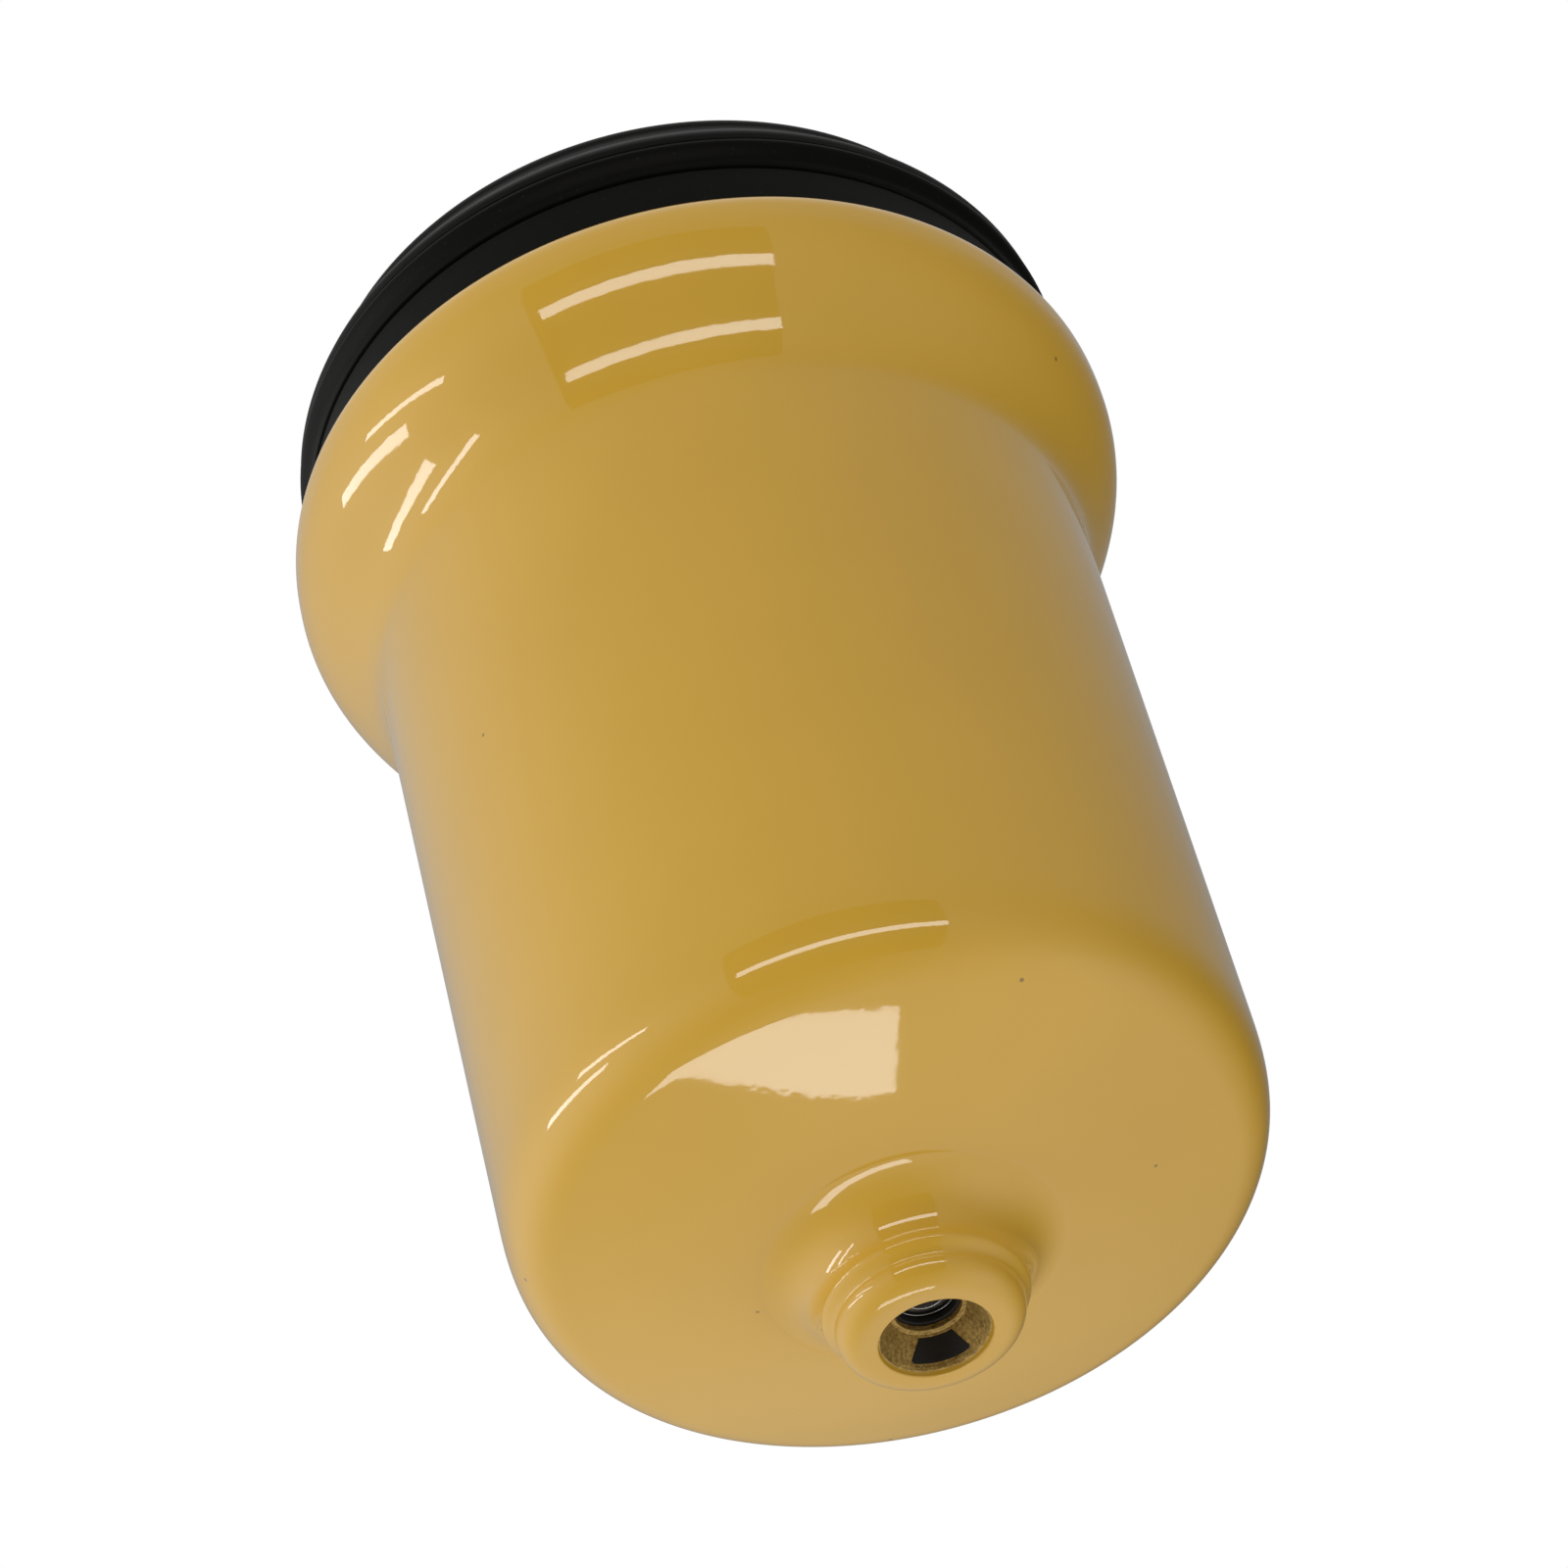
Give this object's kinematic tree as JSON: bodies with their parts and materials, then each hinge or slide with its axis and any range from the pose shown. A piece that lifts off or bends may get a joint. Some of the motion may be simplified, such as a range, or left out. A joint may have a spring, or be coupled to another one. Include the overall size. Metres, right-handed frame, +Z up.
{
  "type": "drop-in liquid canister",
  "caption": "Glossy mustard can with a domed foot, stepped outlet boss and spring-loaded drip-stop valve; its flared collar carries a black quarter-turn lid.",
  "frame": {"origin": "on the axis, at the shoulder where the straight wall ends and the flared collar begins", "axes": "+Z up along the axis, from the outlet to the lid; the catch window in the outlet faces +Y"},
  "size_m": [0.1054, 0.1054, 0.1616],
  "materials": {
    "paint": "high-gloss mustard enamel",
    "sleeve_brass": "dull turned brass",
    "seal_rubber": "black moulded rubber",
    "red_rubber": "red silicone rubber",
    "steel": "bright stainless steel",
    "white_plastic": "natural acetal",
    "grey_plastic": "grey moulded plastic",
    "dark_plastic": "black glass-filled nylon",
    "lid_plastic": "satin black, faintly speckled",
    "grip_rubber": "matte black soft-touch rubber"
  },
  "bodies": {
    "can": {"shell": "paint", "neck_boss": "paint", "outlet_sleeve": "sleeve_brass", "window_pad": "dark_plastic", "port_seal": "seal_rubber", "valve_seat": "steel", "valve_cage": "white_plastic", "cage_clip": "steel", "lock_nut": "sleeve_brass", "nut_washer": "red_rubber", "strainer": "steel", "neck_ring": "dark_plastic", "ring_clip": "steel", "valve_spring": "steel"},
    "valve": {"poppet": "steel", "poppet_seal": "seal_rubber", "stem_clip": "steel"},
    "plate": {"seal_plate": "grey_plastic", "lid_gasket": "seal_rubber", "plate_wiper": "seal_rubber", "vent_valve": "red_rubber", "thrust_washer": "white_plastic"},
    "lid": {"plug_cup": "dark_plastic", "swivel_bolt": "steel", "swivel_nut": "steel", "lid_skirt": "lid_plastic", "grip_ring": "grip_rubber", "lid_cover": "lid_plastic", "lid_screws": "steel", "vent_disc": "grey_plastic", "foot_ring": "grip_rubber"}
  },
  "joints": [
    {"name": "valve_lift", "type": "slide", "parent": "can", "child": "valve", "axis": [0, 0, 1], "range_m": [0, 0.004], "stiffness_N_per_m": 350, "springref_m": -0.004, "deforming": ["valve_spring"]},
    {"name": "lid_rise", "type": "slide", "parent": "can", "child": "plate", "axis": [0, 0, 1], "range_m": [0, 0.003]},
    {"name": "lid_twist", "type": "hinge", "parent": "plate", "child": "lid", "pos_m": [0, 0, 0.02], "axis": [0, 0, 1], "range_deg": [0, 60]}
  ],
  "couplings": [
    {"joint": "lid_rise", "follows": "lid_twist", "m_per_rad": 0.00286}
  ]
}
